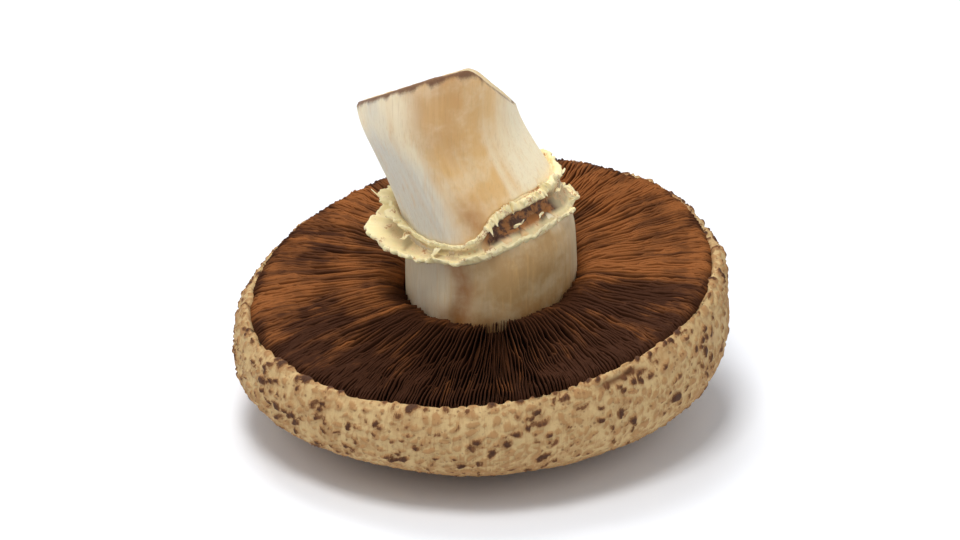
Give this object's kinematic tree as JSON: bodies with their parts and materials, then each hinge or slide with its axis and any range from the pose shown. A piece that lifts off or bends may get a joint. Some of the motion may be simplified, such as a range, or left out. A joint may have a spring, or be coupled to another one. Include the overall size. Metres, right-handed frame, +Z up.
{
  "type": "portobello mushroom",
  "caption": "Whole portobello mushroom lying on its cap: scaly domed cap, dark radial gills facing up, thick leaning stem with a torn veil ring and a trimmed end.",
  "frame": {"origin": "middle of the small flattened patch of the crown that the cap rests on, at the level of the table", "axes": "+Z up, from the crown towards the stem's cut end; +X towards the side where the gill plane is higher; -Y towards the side where the gill plane is lowest"},
  "size_m": [0.1097, 0.1104, 0.0859],
  "materials": {
    "cap_skin": "matte",
    "gill_tissue": "matte",
    "stem_flesh": "matte",
    "veil": "matte"
  },
  "bodies": {
    "root": {"cap": "cap_skin", "gills": "gill_tissue", "stem": "stem_flesh", "veil_ring": "veil"}
  },
  "joints": []
}
